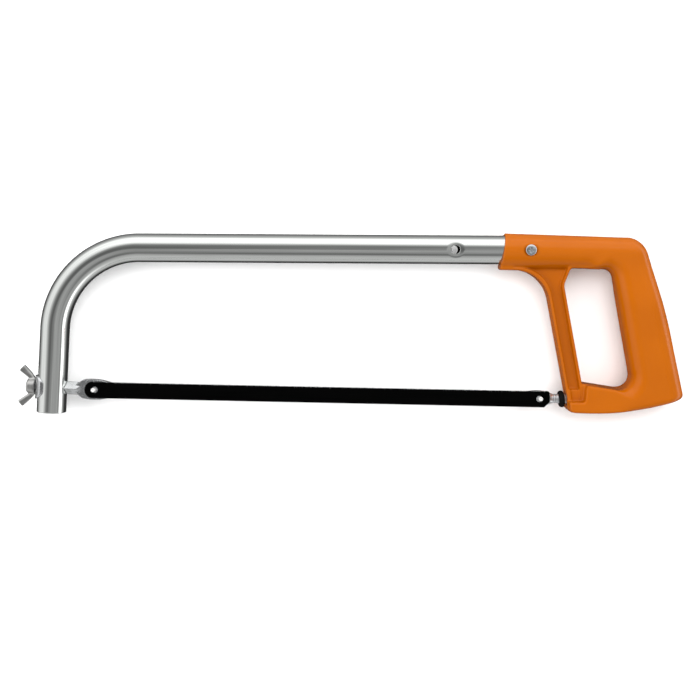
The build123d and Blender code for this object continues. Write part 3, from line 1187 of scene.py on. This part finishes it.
class Tent:
    """The world shader: the brightness of a light tent, worked out from the direction."""

    def __init__(self):
        world = bpy.data.worlds.new("tent")
        bpy.context.scene.world = world
        world.use_nodes = True
        self.nodes = world.node_tree.nodes
        self.links = world.node_tree.links
        place = self.nodes.new("ShaderNodeTexCoord")
        split = self.nodes.new("ShaderNodeSeparateXYZ")
        self.links.new(place.outputs["Generated"], split.inputs["Vector"])
        self.x, self.y, z = split.outputs
        angle = self.maths("ARCCOSINE", z)
        self.drop = self.maths("DIVIDE", angle, math.pi)
        x_squared = self.maths("MULTIPLY", self.x, self.x)
        y_squared = self.maths("MULTIPLY", self.y, self.y)
        total = self.maths("ADD", self.maths("ADD", x_squared, y_squared), 0.0001)
        sideways = self.maths("DIVIDE", x_squared, total)
        across = self.blend(self.step(self.x), self.wall(tent_left), self.wall(tent_right))
        lengthways = self.blend(self.step(self.y), self.wall(tent_front), self.wall(tent_back))
        shade = self.blend(sideways, lengthways, across)
        background = self.nodes["Background"]
        self.links.new(shade, background.inputs["Color"])
        background.inputs["Strength"].default_value = tent_scale

    def maths(self, operation, *values):
        """One step of arithmetic on numbers or sockets."""
        node = self.nodes.new("ShaderNodeMath")
        node.operation = operation
        for socket, value in zip(node.inputs, values):
            if isinstance(value, (int, float)):
                socket.default_value = value
            else:
                self.links.new(value, socket)
        return node.outputs["Value"]

    def step(self, value):
        """0 on the negative side and 1 on the positive side, with a soft change between."""
        node = self.nodes.new("ShaderNodeMapRange")
        node.interpolation_type = "SMOOTHSTEP"
        node.inputs["From Min"].default_value = -0.12
        node.inputs["From Max"].default_value = 0.12
        self.links.new(value, node.inputs["Value"])
        return node.outputs["Result"]

    def blend(self, factor, first, second):
        """The first value where factor is 0 and the second where it is 1."""
        node = self.nodes.new("ShaderNodeMix")
        node.data_type = "RGBA"
        self.links.new(factor, node.inputs["Factor"])
        self.links.new(first, node.inputs["A"])
        self.links.new(second, node.inputs["B"])
        return node.outputs["Result"]

    def wall(self, stops):
        """The brightness of one side of the tent from straight up to straight down."""
        node = self.nodes.new("ShaderNodeValToRGB")
        self.links.new(self.drop, node.inputs["Fac"])
        elements = node.color_ramp.elements
        elements.remove(elements[1])
        elements[0].position = 0.0
        for number, (degrees, brightness) in enumerate(stops):
            element = elements.new(degrees / 180) if number else elements[0]
            level = brightness / tent_scale
            element.color = (level, level, level, 1.0)
        return node.outputs["Color"]


def make_lights():
    """The tent, the main lamp from above, one low on the left and a wide weak one."""
    Tent()
    softbox("key", (0.7, 0.9, 1.7), 1.6, 3.8)
    softbox("left", (-1.5, 0.2, 0.9), 1.1, 4.6)
    softbox("fill", (-0.5, -0.3, 2.0), 2.4, 1.15)
    bpy.context.scene.view_settings.view_transform = "Standard"


# --- Assembly ---


def make_saw():
    """Every piece of the saw, with its finish."""
    chrome = chrome_finish()
    zinc = zinc_finish("bright_zinc", 0.24)
    peg_zinc = zinc_finish("peg_zinc", 0.42, colour=(0.72, 0.73, 0.74))
    # The rivets' pale finish carries a painted sheen
    rivet = rivet_finish()
    screw_zinc = zinc_finish("screw_zinc", 0.2, colour=(0.66, 0.68, 0.70))
    cast = zinc_finish("cast_zinc", 0.36, colour=(0.50, 0.50, 0.49), grain=0.35, height=0.03)
    steel = zinc_finish("spring_steel", 0.3, colour=(0.22, 0.22, 0.23))
    make_frame_tube(chrome)
    make_handle(enamel_finish())
    make_tension_bolt(zinc)
    make_wing_nut(cast)
    make_saddle_washer(zinc)
    make_pin("front_rivet", "bolt", "front_pin", -0.45, 0.01, -0.2, rivet)
    make_pin("rear_rivet", "peg", "rear_pin", blade_pitch + 0.45, peg_y, 0.2, rivet)
    make_rear_peg(peg_zinc)
    make_peg_ring(rubber_finish())
    make_peg_clip(steel)
    make_handle_screw(screw_zinc)
    make_handle_nut(screw_zinc)
    make_blade(black_blade_finish())


make_camera()
make_floor()
make_lights()
make_saw()
